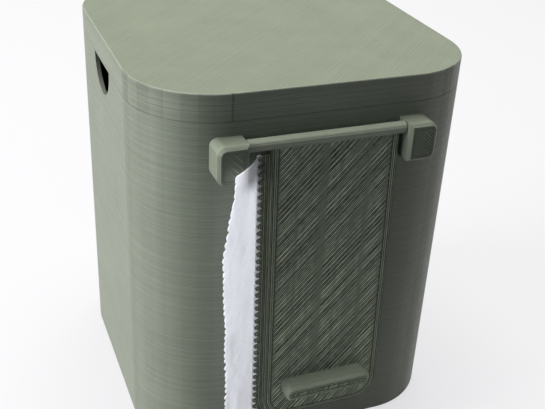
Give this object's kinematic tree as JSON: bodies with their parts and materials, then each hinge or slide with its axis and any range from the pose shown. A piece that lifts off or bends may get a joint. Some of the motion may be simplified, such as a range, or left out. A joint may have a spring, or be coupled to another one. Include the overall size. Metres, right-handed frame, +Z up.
{
  "type": "toilet roll case",
  "caption": "Square tabletop case with round corners for an upright toilet roll, with a lift-off lid and a toothed hinged flap over the paper slot.",
  "frame": {"origin": "centre of the case's underside", "axes": "+Z up, -Y out of the front with the flap, +X to the right seen from the front"},
  "size_m": [0.126, 0.1416, 0.15],
  "materials": {
    "printed_plastic": "matte, layered print",
    "screw_steel": "zinc plated",
    "cardboard": "grey-brown board",
    "tissue_paper": "soft embossed tissue"
  },
  "bodies": {
    "root": {"case_body": "printed_plastic", "hinge_block_left": "printed_plastic", "hinge_block_right": "printed_plastic", "hinge_pin": "printed_plastic", "hinge_block_screws": "screw_steel", "paper_tail": "tissue_paper"},
    "lid": {"lid": "printed_plastic"},
    "flap": {"flap": "printed_plastic"},
    "roll": {"roll_stand": "printed_plastic", "roll_core": "cardboard", "paper_roll": "tissue_paper"}
  },
  "joints": [
    {"name": "lid_lift", "type": "slide", "parent": "root", "child": "lid", "axis": [0, 0, 1], "range_m": [0, 0.06]},
    {"name": "flap_hinge", "type": "hinge", "parent": "root", "child": "flap", "pos_m": [0, -0.0671, 0.1329], "axis": [-1, 0, 0], "range_deg": [0, 177.5]},
    {"name": "roll_spin", "type": "hinge", "parent": "root", "child": "roll", "pos_m": [0, 0, 0.0135], "axis": [0, 0, 1], "continuous": true}
  ]
}
